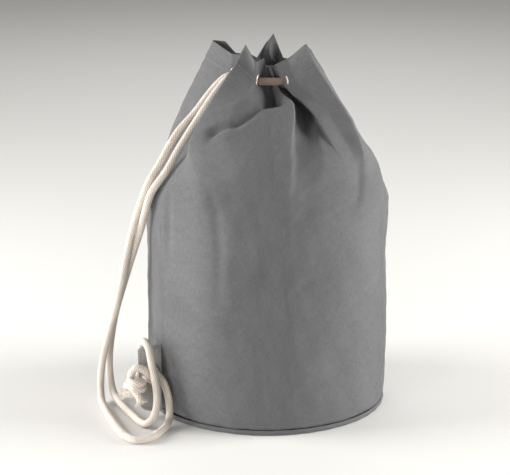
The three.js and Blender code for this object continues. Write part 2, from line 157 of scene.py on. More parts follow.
# Eyelets in order of azimuth, each with the azimuth of its place, of the cloth below it at the
# shoulder, and of the rope's way through it.
eyelet_azimuths = [-68, 5, 39, 95, 129, 168, 218, 258]
eyelet_radii = [0.045, 0.045, 0.045, 0.045, 0.045, 0.033, 0.033, 0.045]
eyelet_rims = [0.377, 0.372, 0.367, 0.368, 0.374, 0.377, 0.377, 0.377]  # the hem's height above each
cloth_azimuths = [-62.5, -17.5, 27.5, 72.5, 117.5, 162.5, 207.5, 252.5]
eyelet_places = [Vector(polar(a, r, EYELET_HEIGHT)) for a, r in zip(eyelet_azimuths, eyelet_radii)]
eyelet_ways = [
    (eyelet_places[(i + 1) % 8] - eyelet_places[i - 1]).normalized() for i in range(8)
]
BACK_EXIT, FRONT_EXIT = 5, 6  # the two eyelets that the rope's ends leave by
back_way_out = Vector(polar(242, 1, 0))
front_way_out = Vector(polar(145, 1, 0))
eyelet_ways[BACK_EXIT] = back_way_out
eyelet_ways[FRONT_EXIT] = -front_way_out


def eyelet_line(i, side, low=None):
    """The cloth's line through eyelet i, or EYELET_FLAT to one side of it (-1 inwards, 1 outwards)."""
    place = eyelet_places[i]
    outward = eyelet_ways[i].cross(Vector((0, 0, 1)))
    level = place + outward * side * EYELET_FLAT
    top = Vector((place.x * 0.91, place.y * 0.91, eyelet_rims[i])) + outward * side * EYELET_FLAT
    if low:
        return low + [tuple(level), tuple(top)]
    spread = [0, 0.14, 0.3, 0.45, 0.62, 0.82]
    profile = [(radius + side * EYELET_FLAT * s, height) for (radius, height), s in zip(EYELET, spread)]
    towards_pleat = side if i % 2 == 0 else -side
    base = cloth_azimuths[i] + towards_pleat * 4.4
    return risen(profile, base, eyelet_azimuths[i], tuple(level), tuple(top))


def pleat_line(base_azimuth, azimuth, apex_azimuth, apex_radius, apex_height):
    level = polar(apex_azimuth, apex_radius + 0.0145, apex_height - 0.025)
    return risen(RIDGE, base_azimuth, azimuth, level, polar(apex_azimuth, apex_radius, apex_height))


def valley_line(base_azimuth, azimuth, bottom_radius):
    level = polar(azimuth, bottom_radius, 0.350)
    return risen(VALLEY, base_azimuth, azimuth, level, polar(azimuth, bottom_radius - 0.001, 0.369))


# The front valley, from left to right: a flap that comes from the left pleat and folds back on
# itself, the deep fold behind it, and the edge of the right pleat.
flap = [
    (0.002, -0.130, 0.225), (0.003, -0.1300, 0.252), (0.005, -0.1235, 0.279), (0.007, -0.1070, 0.306),
    (0.009, -0.0795, 0.3345), (0.007, -0.0610, 0.321), (0.006, -0.0290, 0.338), (0.0005, -0.0280, 0.367),
]
flap_edge = [
    (0.015, -0.129, 0.225), (0.019, -0.1285, 0.252), (0.0225, -0.1235, 0.281), (0.0235, -0.1040, 0.307),
    (0.0265, -0.0770, 0.334), (0.0185, -0.0570, 0.342), (0.0095, -0.0385, 0.351), (0.0020, -0.0320, 0.3705),
]
behind_edge = [
    (0.022, -0.128, 0.225), (0.027, -0.1265, 0.252), (0.0290, -0.1180, 0.281), (0.0275, -0.0935, 0.304),
    (0.0270, -0.0640, 0.325), (0.0215, -0.0500, 0.337), (0.0120, -0.0330, 0.349), (0.0032, -0.0320, 0.3705),
]
deep_fold = [
    (0.030, -0.1265, 0.225), (0.036, -0.1230, 0.252), (0.0410, -0.1170, 0.279), (0.0400, -0.0905, 0.300),
    (0.0370, -0.0420, 0.318), (0.0290, -0.0310, 0.333), (0.0150, -0.0270, 0.349), (0.0050, -0.0320, 0.3705),
]
recess = [
    (0.044, -0.1223, 0.225), (0.052, -0.1180, 0.252), (0.0570, -0.1125, 0.279), (0.0530, -0.0945, 0.301),
    (0.0455, -0.0530, 0.321), (0.0355, -0.0430, 0.334), (0.0180, -0.0345, 0.349), (0.0075, -0.0350, 0.3720),
]
right_edge = [
    (0.060, -0.1153, 0.225), (0.074, -0.1075, 0.249), (0.0790, -0.1000, 0.273), (0.0690, -0.0960, 0.293),
    (0.0560, -0.0830, 0.312), (0.0410, -0.0640, 0.332), (0.0200, -0.0475, 0.350), (0.0095, -0.0425, 0.374),
]
right_face = [
    (0.078, -0.1040, 0.225), (0.089, -0.0950, 0.249), (0.0910, -0.0880, 0.272), (0.0830, -0.0830, 0.292),
    (0.0710, -0.0730, 0.312), (0.0550, -0.0600, 0.334), (0.0290, -0.0480, 0.358), (0.0210, -0.0450, 0.380),
]
# The front-left pleat's face runs on into the flap, with the pocket under the rope between them.
pocket = [
    (-0.006, -0.1297, 0.225), (-0.006, -0.1293, 0.252), (-0.004, -0.1237, 0.279), (-0.002, -0.1072, 0.306),
    (-0.001, -0.0810, 0.333), (-0.0005, -0.0640, 0.322), (0.0015, -0.0360, 0.337), (-0.0015, -0.0300, 0.369),
]
left_of_pocket = [
    (-0.014, -0.1292, 0.225), (-0.014, -0.1285, 0.252), (-0.012, -0.1235, 0.279), (-0.010, -0.1075, 0.306),
    (-0.009, -0.0830, 0.331), (-0.007, -0.0600, 0.337),
]
below_eyelet = [
    (-0.029, -0.1267, 0.225), (-0.030, -0.1260, 0.252), (-0.028, -0.1215, 0.279), (-0.025, -0.1075, 0.306),
    (-0.021, -0.0860, 0.329), (-0.014, -0.0650, 0.342),
]
left_of_eyelet = [
    (-0.044, -0.1223, 0.225), (-0.047, -0.1210, 0.252), (-0.046, -0.1160, 0.279), (-0.043, -0.1035, 0.306),
    (-0.036, -0.0875, 0.328), (-0.027, -0.0715, 0.344),
]
# The ridge of the front-left pleat leans back over the shoulder and runs down into the wall.
front_ridge = [
    polar(235.0, 0.130, 0.225), polar(238.5, 0.1325, 0.252), polar(234.0, 0.1260, 0.275),
    polar(228.0, 0.1185, 0.296), polar(227.5, 0.1050, 0.318), polar(230.0, 0.0850, 0.343),
    polar(233.0, 0.0560, 0.373), polar(235.0, 0.0390, 0.3915),
]
# The left and right pleats' outer edges run nearly straight from the mouth to the shoulder.
left_ridge = [
    polar(147.5, 0.130, 0.225), polar(148, 0.1315, 0.249), (-0.1097, 0.0700, 0.2726),
    (-0.0957, 0.0630, 0.3076), (-0.0853, 0.0570, 0.3308), (-0.0739, 0.0500, 0.3538),
    (-0.0660, 0.0445, 0.3700), (-0.0580, 0.0380, 0.3875),
]
right_ridge = [
    polar(-27, 0.130, 0.225), polar(-25, 0.130, 0.250), (0.1141, -0.0450, 0.2736),
    (0.0992, -0.0450, 0.2948), (0.0878, -0.0400, 0.3149), (0.0753, -0.0350, 0.3351),
    (0.0590, -0.0265, 0.3620), (0.0439, -0.0280, 0.3862),
]
# The back pleat stands up as a narrow point.
back_ridge = risen(RIDGE, 50, 57, polar(80, 0.0465, 0.364), polar(82, 0.0490, 0.394))

# All the lines, once round the cloth from the front.
lines = [flap, flap_edge, behind_edge, deep_fold, recess, right_edge, right_face]
lines += [pleat_line(-42, -37, -36, 0.049, 0.3925), right_ridge]
lines += [eyelet_line(1, side) for side in (1, 0, -1)]
lines += [valley_line(5, 22, 0.015)]
lines += [eyelet_line(2, side) for side in (-1, 0, 1)]
lines += [pleat_line(43, 48, 68, 0.046, 0.368), back_ridge, pleat_line(57, 66, 102, 0.042, 0.370)]
lines += [eyelet_line(3, side) for side in (1, 0, -1)]
lines += [valley_line(95, 112, 0.015)]
lines += [eyelet_line(4, side) for side in (-1, 0, 1)]
lines += [pleat_line(136, 142, 141, 0.058, 0.3865), left_ridge]
lines += [eyelet_line(5, side) for side in (1, 0, -1)]
lines += [valley_line(185, 193, 0.010)]
lines += [eyelet_line(6, side) for side in (-1, 0, 1)]
lines += [front_ridge]
lines += [eyelet_line(7, 1, left_of_eyelet), eyelet_line(7, 0, below_eyelet)]
lines += [eyelet_line(7, -1, left_of_pocket), pocket]


def spline_weights(knots, places):
    """The matrix that takes values at the knots to values at the places, by a natural cubic spline."""
    count = len(knots)
    step = np.diff(knots)
    system, right = np.eye(count), np.zeros((count, count))
    for i in range(1, count - 1):
        system[i, i - 1], system[i, i], system[i, i + 1] = step[i - 1], 2 * (step[i - 1] + step[i]), step[i]
        right[i, i - 1 : i + 2] = [6 / step[i - 1], -6 / step[i - 1] - 6 / step[i], 6 / step[i]]
    second = np.linalg.solve(system, right)
    span = np.clip(np.searchsorted(knots, places) - 1, 0, count - 2)
    h = step[span][:, None]
    a = ((knots[span + 1] - places) / step[span])[:, None]
    b = 1 - a
    unit = np.eye(count)
    curved = (a**3 - a) * second[span] + (b**3 - b) * second[span + 1]
    return a * unit[span] + b * unit[span + 1] + curved * h**2 / 6


def closed_catmull_rom(points, samples):
    """Centripetal Catmull-Rom round closed loops: points is (lines, 3), samples go from 0 to lines."""
    count = len(points)
    which = np.floor(samples).astype(int)
    p = [points[(which + k) % count] for k in (-1, 0, 1, 2)]
    gaps = [np.maximum(np.linalg.norm(p[k + 1] - p[k], axis=1), 1e-6) ** 0.5 for k in range(3)]
    t = [np.zeros(len(samples))]
    for gap in gaps:
        t.append(t[-1] + gap)
    at = t[1] + (samples - which) * gaps[1]

    def between(a, b, low, high):
        share = ((at - low) / (high - low))[:, None]
        return a * (1 - share) + b * share

    first = [between(p[k], p[k + 1], t[k], t[k + 1]) for k in range(3)]
    second = [between(first[k], first[k + 1], t[k], t[k + 2]) for k in range(2)]
    return between(second[0], second[1], t[1], t[2])


COLUMNS = 672
WALL_ROWS = 110
COLLAR_ROWS = 190
net = np.array(lines)
rises = spline_weights(np.arange(LEVELS, dtype=float), np.linspace(0, LEVELS - 1, COLLAR_ROWS + 1))
risen_net = np.einsum("vl,nlc->vnc", rises, net)
round_the_cloth = np.arange(COLUMNS) / COLUMNS * len(lines)
smooth_collar = np.array([closed_catmull_rom(row, round_the_cloth) for row in risen_net])
# Near the mouth the folds are pinched, so there the cloth runs nearly straight from line to line.
line_before = np.floor(round_the_cloth).astype(int)
way_on = (round_the_cloth - line_before)[None, :, None]
pinched = risen_net[:, line_before] * (1 - way_on) + risen_net[:, (line_before + 1) % len(lines)] * way_on
pinch = 0.85 * np.clip(np.linspace(-0.25, 1.6, COLLAR_ROWS + 1), 0, 1)[:, None, None]
collar = smooth_collar * (1 - pinch) + pinched * pinch

# The wall follows the collar's lowest row down to the base.
wall_heights = np.linspace(WALL_FOOT, SHOULDER, WALL_ROWS, endpoint=False)
wall = np.repeat(collar[:1], WALL_ROWS, axis=0)
wall[:, :, 2] = wall_heights[:, None]
cloth = np.concatenate([wall, collar])


def bump_at(value, centre, width):
    return np.exp(-(((value - centre) / width) ** 2))


def turned_by(azimuths, centre):
    """How many degrees each azimuth is from a centre."""
    return (azimuths - centre + 180) % 360 - 180


# The wall isn't quite round: soft upright folds, a waist, and a foot drawn in by its seam.
azimuths = np.degrees(np.arctan2(cloth[:, :, 1], cloth[:, :, 0]))
heights = cloth[:, :, 2]
on_wall = 1 / (1 + np.exp((heights - 0.262) / 0.008))
low = np.clip(heights / 0.09, 0, 1)
push = 0.0016 * bump_at(turned_by(azimuths, -114), 0, 11) * low
push -= 0.0013 * bump_at(turned_by(azimuths, -131), 0, 11) * low
push -= 0.0014 * bump_at(turned_by(azimuths, -88), 0, 22) * low
push -= 0.0030 * bump_at(turned_by(azimuths, -8), 0, 26) * bump_at(heights, 0.165, 0.04)
push += 0.0010 * np.sin(np.radians(azimuths * 3 + 40) + heights * 9) * low
push += 0.0005 * np.sin(np.radians(azimuths * 7) - heights * 25) * low
push -= 0.0024 * np.exp(-(heights - WALL_FOOT) / 0.010)
push *= on_wall
outward = np.stack([np.cos(np.radians(azimuths)), np.sin(np.radians(azimuths)), 0 * azimuths], axis=2)
cloth += outward * push[:, :, None]


def normals_of(grid):
    around = np.roll(grid, -1, axis=1) - np.roll(grid, 1, axis=1)
    up = np.gradient(grid, axis=0)
    normal = np.cross(around, up)
    return normal / np.maximum(np.linalg.norm(normal, axis=2, keepdims=True), 1e-12)


def crease(grid, route, depth, width):
    """Presses a soft crease of that depth and width into the cloth along a route, fading at its ends."""
    route = np.array(route)
    nearest = np.full(grid.shape[:2], 1e9)
    share = np.zeros(grid.shape[:2])
    for k, (start, end) in enumerate(zip(route[:-1], route[1:])):
        way = end - start
        along = np.clip(((grid - start) @ way) / (way @ way), 0, 1)
        away = np.linalg.norm(grid - start - along[:, :, None] * way, axis=2)
        closer = away < nearest
        nearest = np.where(closer, away, nearest)
        share = np.where(closer, (k + along) / (len(route) - 1), share)
    fade = np.sin(math.pi * np.clip(share, 0.02, 0.98)) ** 0.5
    return grid - normals_of(grid) * (depth * fade * np.exp(-((nearest / width) ** 2)))[:, :, None]


# Creases under the front-left pleat, where it buckles, and beside the shoulder and the tab.
creases = [  # route, depth, width
    ([(-0.005, -0.072, 0.334), (-0.018, -0.084, 0.327), (-0.033, -0.093, 0.321), (-0.056, -0.091, 0.313)],
     0.0085, 0.0055),
    ([(-0.050, -0.090, 0.317), (-0.056, -0.091, 0.307), (-0.058, -0.094, 0.294)], 0.0045, 0.0050),
    ([(-0.061, -0.109, 0.268), (-0.052, -0.119, 0.235), (-0.048, -0.121, 0.190), (-0.050, -0.119, 0.140)],
     0.0016, 0.0060),
    ([(-0.100, -0.083, 0.250), (-0.102, -0.080, 0.215), (-0.103, -0.079, 0.170)], 0.0022, 0.0050),
    ([(-0.108, -0.070, 0.068), (-0.100, -0.083, 0.048), (-0.086, -0.097, 0.030)], 0.0022, 0.0040),
    ([(0.095, -0.072, 0.296), (0.094, -0.088, 0.262), (0.090, -0.094, 0.238)], 0.0020, 0.0060),
    ([(0.112, -0.040, 0.276), (0.124, -0.035, 0.240), (0.126, -0.030, 0.205)], 0.0022, 0.0080),
]
for route, depth, width in creases:
    cloth = crease(cloth, route, depth, width)

# Small slack in the cloth, and the step of the double hem.
rows, columns = cloth.shape[:2]
cloth_round = np.arange(columns)[None, :] / columns * 2 * math.pi * BAG_RADIUS
risen_length = np.concatenate([wall_heights, np.linspace(SHOULDER, CLOTH_HEIGHT, COLLAR_ROWS + 1)])
cloth_up = risen_length[:, None]
slack = np.sin(cloth_round * 77 + np.sin(cloth_up * 60) * 1.3)
slack *= np.sin(cloth_up * 95 + np.sin(cloth_round * 46) * 1.7)
slack += 0.6 * np.sin(cloth_round * 192 - cloth_up * 120) * np.sin(cloth_up * 210 + cloth_round * 30)
hem_step = 0.0006 / (1 + np.exp(-(cloth_up - CLOTH_HEIGHT + HEM_WIDTH) / 0.0006))
relief = 0.00045 * slack + hem_step
cloth = cloth + normals_of(cloth) * relief[:, :, None]

cloth_normals = normals_of(cloth)


def grid_object(name, grid, closed, uvs, material):
    """A mesh object from a grid of points (rows, columns), joined round its columns if closed."""
    rows, columns = grid.shape[:2]
    last = columns if closed else columns - 1
    r, c = np.meshgrid(np.arange(rows - 1), np.arange(last), indexing="ij")
    right = (c + 1) % columns
    low, high = r * columns, (r + 1) * columns
    faces = np.stack([low + c, low + right, high + right, high + c], axis=2)
    faces = faces.reshape(-1, 4)
    mesh = bpy.data.meshes.new(name)
    mesh.from_pydata(grid.reshape(-1, 3).tolist(), [], faces.tolist())
    mesh.shade_smooth()
    if uvs is not None:
        width, height = uvs
        corner_u = np.stack([c, c + 1, c + 1, c], axis=2).reshape(-1) / last * width
        corner_v = np.asarray(height)[np.stack([r, r, r + 1, r + 1], axis=2).reshape(-1)]
        layer = mesh.uv_layers.new(name="cloth")
        layer.uv.foreach_set("vector", np.stack([corner_u, corner_v], axis=1).astype(np.float32).ravel())
    mesh.materials.append(material)
    made = bpy.data.objects.new(name, mesh)
    bpy.context.scene.collection.objects.link(made)
    return made


canvas = grid_object("canvas_tube", cloth, True, (2 * math.pi * BAG_RADIUS, risen_length), canvas_cloth)
thickness = canvas.modifiers.new("thickness", "SOLIDIFY")
thickness.thickness = CLOTH
thickness.offset = 0
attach(canvas, "bag")
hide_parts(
    "body_panel", "collar_pleat_right", "collar_pleat_back", "collar_pleat_left", "collar_pleat_front"
)


# ---- Rope -----------------------------------------------------------------------------------
# One 8 mm braided cotton rope. It runs through the eight eyelets of the mouth, and its two ends
# are the shoulder straps: each lies along the floor, rises to the tab and ends in the knot.
ROPE_RADIUS = 0.004
BRAID_STRANDS = 8  # each way round
BRAID_LEAD = 0.030  # length of one full turn of a strand
BRAID_DEPTH = 0.0011
ROPE_SIDES = 40
ROPE_STEP = 0.0006


def smooth_route(points, step):
    """Points every step along a centripetal Catmull-Rom curve through a route."""
    points = [Vector(p) for p in points]
    ends = [points[0] * 2 - points[1]] + points + [points[-1] * 2 - points[-2]]
    dense = []
    for p0, p1, p2, p3 in zip(ends, ends[1:], ends[2:], ends[3:]):
        t1 = (p1 - p0).length ** 0.5
        t2 = t1 + (p2 - p1).length ** 0.5
        t3 = t2 + (p3 - p2).length ** 0.5
        for k in range(40):
            t = t1 + (t2 - t1) * k / 40
            a1 = p0 * ((t1 - t) / t1) + p1 * (t / t1)
            a2 = p1 * ((t2 - t) / (t2 - t1)) + p2 * ((t - t1) / (t2 - t1))
            a3 = p2 * ((t3 - t) / (t3 - t2)) + p3 * ((t - t2) / (t3 - t2))
            b1 = a1 * ((t2 - t) / t2) + a2 * (t / t2)
            b2 = a2 * ((t3 - t) / (t3 - t1)) + a3 * ((t - t1) / (t3 - t1))
            dense.append(b1 * ((t2 - t) / (t2 - t1)) + b2 * ((t - t1) / (t2 - t1)))
    dense.append(points[-1])
    dense = np.array([tuple(p) for p in dense])
    run = np.concatenate([[0], np.cumsum(np.linalg.norm(np.diff(dense, axis=0), axis=1))])
    even = np.linspace(0, run[-1], max(2, round(run[-1] / step) + 1))
    return np.stack([np.interp(even, run, dense[:, k]) for k in range(3)], axis=1)


def carried_frames(centres):
    """A normal and a binormal at each centre, carried along the curve without twisting."""
    ways = np.gradient(centres, axis=0)
    ways /= np.linalg.norm(ways, axis=1, keepdims=True)
    normal = np.cross(ways[0], (0.3, 0.2, 0.93))
    normals = []
    for way in ways:
        normal = normal - way * (normal @ way)
        normal = normal / np.linalg.norm(normal)
        normals.append(normal)
    normals = np.array(normals)
    return normals, np.cross(ways, normals)


def cotton(name, dark, light):
    """Cotton yarns with painted shade between strands, painted light on crowns, fibres and some soiling."""
    material, tree, shader = new_material(name, roughness=0.9)
    shader.inputs["Sheen Weight"].default_value = 0.25
    shader.inputs["Specular IOR Level"].default_value = 0.2
    place = add_node(tree, "TexCoord", {}).outputs["Object"]
    fibres = add_node(tree, "TexNoise", {"Vector": place, "Scale": 1500, "Detail": 4, "Roughness": 0.7})
    soiling = add_node(tree, "TexNoise", {"Vector": place, "Scale": 60, "Detail": 4})
    # Painted shade and light: the braid's crown darkens the colour in the grooves and lightens it on the
    # strands.
    crown = add_node(tree, "Attribute", {}, attribute_name="crown_for_painted_shade").outputs["Fac"]
    tone = add_node(tree, "Math", {0: fibres.outputs["Fac"], 1: 0.6, 2: -0.62}, operation="MULTIPLY_ADD")
    tone = add_node(
        tree, "Math", {0: soiling.outputs["Fac"], 1: 0.4, 2: tone.outputs[0]}, operation="MULTIPLY_ADD"
    )
    tone = add_node(
        tree, "Math", {0: crown, 1: 1.1, 2: tone.outputs[0]}, operation="MULTIPLY_ADD", use_clamp=True
    )
    colour = add_node(
        tree, "Mix", {"Factor": tone.outputs[0], 6: linear(dark), 7: linear(light)}, data_type="RGBA"
    )
    tree.links.new(colour.outputs[2], shader.inputs["Base Color"])
    bump = add_node(tree, "Bump", {"Height": fibres.outputs["Fac"], "Strength": 0.5, "Distance": 0.0003})
    tree.links.new(bump.outputs["Normal"], shader.inputs["Normal"])
    return material


cotton_rope = cotton("cream cotton rope", dark="#8f8375", light="#efe5da")
# The rope round the neck gets darker colours: painted shade, where the pleats keep the side lights off it.
neck_rope_painted_shade = cotton("cotton rope with painted shade", dark="#4f443a", light="#8e7d6e")


def braid_surface(centres, step, radius=ROPE_RADIUS):
    """Braided tube round a line of centres: two sets of strands that pass over and under."""
    normals, binormals = carried_frames(centres)
    turn = np.arange(ROPE_SIDES) / ROPE_SIDES
    along = np.arange(len(centres))[:, None] * step / BRAID_LEAD
    one_way = BRAID_STRANDS * (turn[None, :] + along)
    other_way = BRAID_STRANDS * (turn[None, :] - along)
    over = (np.round(one_way) + np.round(other_way)) % 2
    strand_a = np.abs(np.cos(math.pi * one_way)) ** 0.7 * np.where(over == 0, 1, 0.45)
    strand_b = np.abs(np.cos(math.pi * other_way)) ** 0.7 * np.where(over == 0, 0.45, 1)
    crown = np.maximum(strand_a, strand_b)
    reach = radius - BRAID_DEPTH + BRAID_DEPTH * crown
    angle = 2 * math.pi * turn[None, :, None]
    around = np.cos(angle) * normals[:, None, :] + np.sin(angle) * binormals[:, None, :]
    return centres[:, None, :] + around * reach[:, :, None], crown


def rope_object(name, route, material=cotton_rope):
    centres = smooth_route(route, ROPE_STEP)
    surface, crown = braid_surface(centres, ROPE_STEP)
    made = grid_object(name, surface, True, None, material)
    # The braid's crown is also kept on the mesh, for the rope's painted shade between the strands.
    made.data.attributes.new("crown_for_painted_shade", "FLOAT", "POINT").data.foreach_set("value", crown.ravel())
    return made, centres


back_exit = eyelet_places[BACK_EXIT]
front_exit = eyelet_places[FRONT_EXIT]
neck_route = [front_exit + front_way_out * 0.005, front_exit + front_way_out * 0.0025]
neck_route += [eyelet_places[(FRONT_EXIT + i) % 8] for i in range(8)]
neck_route += [back_exit + back_way_out * 0.0025, back_exit + back_way_out * 0.005]
neck, _ = rope_object("rope_neck", neck_route, neck_rope_painted_shade)
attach(neck, "bag")
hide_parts("drawcord_neck")

back_route = [
    back_exit + back_way_out * 0.0053, back_exit + back_way_out * 0.0093,
    (-0.0445, -0.0055, 0.354), (-0.0535, -0.0095, 0.3465),
    (-0.064, -0.0145, 0.3345), (-0.075, -0.0205, 0.3205),
    (-0.095, -0.034, 0.299), (-0.111, -0.048, 0.272), (-0.124, -0.057, 0.2505), (-0.1325, -0.053, 0.229),
    (-0.1405, -0.047, 0.204), (-0.1485, -0.043, 0.172), (-0.155, -0.039, 0.141), (-0.1635, -0.032, 0.105),
    (-0.1715, -0.025, 0.078), (-0.1775, -0.019, 0.054), (-0.1815, -0.017, 0.032), (-0.182, -0.0225, 0.015),
    (-0.1795, -0.038, 0.006), (-0.174, -0.060, 0.0046), (-0.1665, -0.086, 0.0046), (-0.1585, -0.110, 0.0046),
    (-0.152, -0.128, 0.0046), (-0.145, -0.142, 0.0046), (-0.134, -0.1515, 0.0046), (-0.1192, -0.145, 0.0046),
    (-0.1115, -0.130, 0.0046), (-0.106, -0.115, 0.0046), (-0.103, -0.101, 0.008), (-0.103, -0.0925, 0.019),
    (-0.1055, -0.088, 0.033), (-0.1105, -0.085, 0.0445), (-0.1165, -0.081, 0.0503), (-0.121, -0.0776, 0.0516),
]
front_route = [
    front_exit + front_way_out * 0.0053, front_exit + front_way_out * 0.0093,
    (-0.0425, -0.0175, 0.354), (-0.050, -0.023, 0.3465), (-0.0595, -0.030, 0.3345), (-0.071, -0.0375, 0.318),
    (-0.0905, -0.048, 0.2885), (-0.105, -0.0615, 0.2645), (-0.120, -0.0635, 0.2435), (-0.127, -0.057, 0.223),
    (-0.1332, -0.0465, 0.200), (-0.1435, -0.0365, 0.168), (-0.152, -0.031, 0.141), (-0.1628, -0.0236, 0.105),
    (-0.169, -0.015, 0.076), (-0.1725, -0.009, 0.052), (-0.173, -0.0085, 0.031), (-0.171, -0.014, 0.0165),
    (-0.1665, -0.026, 0.0075), (-0.159, -0.0435, 0.0047), (-0.1505, -0.064, 0.0046), (-0.141, -0.084, 0.0046),
    (-0.1345, -0.098, 0.0046), (-0.128, -0.107, 0.005), (-0.1205, -0.110, 0.011), (-0.116, -0.107, 0.0215),
    (-0.1155, -0.1005, 0.035), (-0.118, -0.0955, 0.050), (-0.1219, -0.0889, 0.068), (-0.1244, -0.0845, 0.080),
    (-0.1295, -0.075, 0.085), (-0.133, -0.0655, 0.0805), (-0.1325, -0.0585, 0.069), (-0.131, -0.0575, 0.056),
    (-0.1285, -0.062, 0.0465), (-0.1265, -0.0675, 0.043),
]
back_strap, back_centres = rope_object("rope_back_strap", back_route)
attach(back_strap, "bag")
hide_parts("back_strap")
front_strap, front_centres = rope_object("rope_front_strap", front_route)
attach(front_strap, "bag")
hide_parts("front_strap")


# ---- Knot and frayed ends -------------------------------------------------------------------
# Beyond the tab's eyelet the two ends of the rope are wound into one knot. Their cut ends come
# out at its side and under it, and fray.
KNOT_CENTRE = Vector((-0.137, -0.095, 0.0415))
KNOT_WIND = 0.0066  # radius of the turns' middle line
KNOT_TURNS = 2.1
knot_steps = 60
winding = []
for k in range(knot_steps + 1):
    share = k / knot_steps
    angle = math.radians(140) + 2 * math.pi * KNOT_TURNS * share
    lift = 0.0085 - 0.0135 * share
    winding.append(KNOT_CENTRE + Vector((KNOT_WIND * math.cos(angle), KNOT_WIND * math.sin(angle), lift)))
curl_route = [
    (-0.1262, -0.0705, 0.0430), (-0.1235, -0.0765, 0.0430),
    (-0.1225, -0.0830, 0.0455), (-0.1250, -0.0890, 0.0525),
    (-0.1300, -0.0920, 0.0595), (-0.1365, -0.0930, 0.0615), (-0.1415, -0.0925, 0.0570), *winding[2:-3],
    (-0.1345, -0.0995, 0.0325), (-0.1335, -0.0995, 0.0290),
]
core_route = [
    (-0.1225, -0.0760, 0.0516), (-0.1270, -0.0680, 0.0512),
    (-0.1330, -0.0648, 0.0475), (-0.1405, -0.0656, 0.0415),
    (-0.1470, -0.0733, 0.0380), (-0.1482, -0.0830, 0.0375),
    (-0.1440, -0.0905, 0.0410), (-0.1385, -0.0945, 0.0440),
    (-0.1370, -0.0950, 0.0385), (-0.1392, -0.0948, 0.0335),
    (-0.1422, -0.0945, 0.0328), (-0.1455, -0.0938, 0.0330),
]


def joined(name, objects):
    for other in bpy.context.selected_objects:
        other.select_set(False)
    for made in objects:
        made.select_set(True)
    bpy.context.view_layer.objects.active = objects[0]
    bpy.ops.object.join()
    objects[0].name = name
    objects[0].select_set(False)
    return objects[0]


curl, _ = rope_object("knot_curl", curl_route)
core, _ = rope_object("knot_core", core_route)
knot = joined("rope_knot", [curl, core])
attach(knot, "bag")
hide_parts("end_knot")


def frayed_end(name, route, spread, reach, seed):
    """The rope's last stretch, opening into loose yarns."""
    chance = np.random.default_rng(seed)
    stub, centres = rope_object(name, route)
    way = Vector(centres[-1] - centres[-4]).normalized()
    side = way.cross(Vector((0.2, 0.9, 0.3))).normalized()
    other = way.cross(side)
    yarns = [stub]
    for k in range(46):
        angle = 2 * math.pi * k * 0.618
        out = 0.0034 * math.sqrt((k + 0.5) / 46)
        across = side * math.cos(angle) + other * math.sin(angle)
        length = reach * chance.uniform(0.55, 1.0)
        lean = spread * (out / 0.0034) * chance.uniform(0.5, 1.3)
        wave = Vector(chance.normal(0, 0.0006, 3))
        root = Vector(centres[-3]) + across * out
        middle = root + way * length * 0.5 + across * lean * 0.35 + wave
        points = [root, middle, root + way * length + across * lean]
        line = smooth_route(points, 0.0012)
        normals, binormals = carried_frames(line)
        thin = np.linspace(0.00055, 0.0002, len(line))[:, None, None]
        angles = np.arange(5) / 5 * 2 * math.pi
        ring = np.cos(angles)[None, :, None] * normals[:, None, :]
        ring = ring + np.sin(angles)[None, :, None] * binormals[:, None, :]
        yarn = grid_object(name + "_yarn", line[:, None, :] + ring * thin, True, None, cotton_rope)
        # Loose yarns get one even crown value, which gives them nearly the full painted light of a strand's
        # top.
        crown_for_painted_shade = yarn.data.attributes.new("crown_for_painted_shade", "FLOAT", "POINT")
        crown_for_painted_shade.data.foreach_set("value", np.full(len(line) * 5, 0.85))
        yarns.append(yarn)
    made = joined(name, yarns)
    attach(made, "bag")
    return made


outer_end = frayed_end(
    "frayed_end_outer", [(-0.1440, -0.0941, 0.0330), (-0.1475, -0.0932, 0.0326), (-0.1500, -0.0924, 0.0322)],
    spread=0.004, reach=0.008, seed=3,
)
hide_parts("rope_end_outer")
lower_end = frayed_end(
    "frayed_end_lower", [(-0.1345, -0.0992, 0.0315), (-0.1336, -0.0996, 0.0292), (-0.1328, -0.1000, 0.0275)],
    spread=0.006, reach=0.006, seed=5,
)
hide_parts("rope_end_lower")


# ---- Eyelets --------------------------------------------------------------------------------
# Pressed nickel-plated eyelets: a rolled flange and barrel on the outside of the cloth, clenched
# over a washer on the inside. Eight are in the mouth's hem and a larger one is in the tab.
nickel, tree, shader = new_material("nickel plate", roughness=0.3, metallic=1.0)
place = add_node(tree, "TexCoord", {}).outputs["Object"]
marks = add_node(tree, "TexNoise", {"Vector": place, "Scale": 700, "Detail": 5, "Roughness": 0.7})
dulled = add_node(tree, "MapRange", {"Value": marks.outputs["Fac"], "To Min": 0.22, "To Max": 0.42})
tree.links.new(dulled.outputs["Result"], shader.inputs["Roughness"])
colour = add_node(
    tree, "Mix", {"Factor": marks.outputs["Fac"], 6: linear("#b8b1a6"), 7: linear("#d6d0c6")},
    data_type="RGBA",
)
tree.links.new(colour.outputs[2], shader.inputs["Base Color"])
bump = add_node(tree, "Bump", {"Height": marks.outputs["Fac"], "Strength": 0.1, "Distance": 0.0002})
tree.links.new(bump.outputs["Normal"], shader.inputs["Normal"])


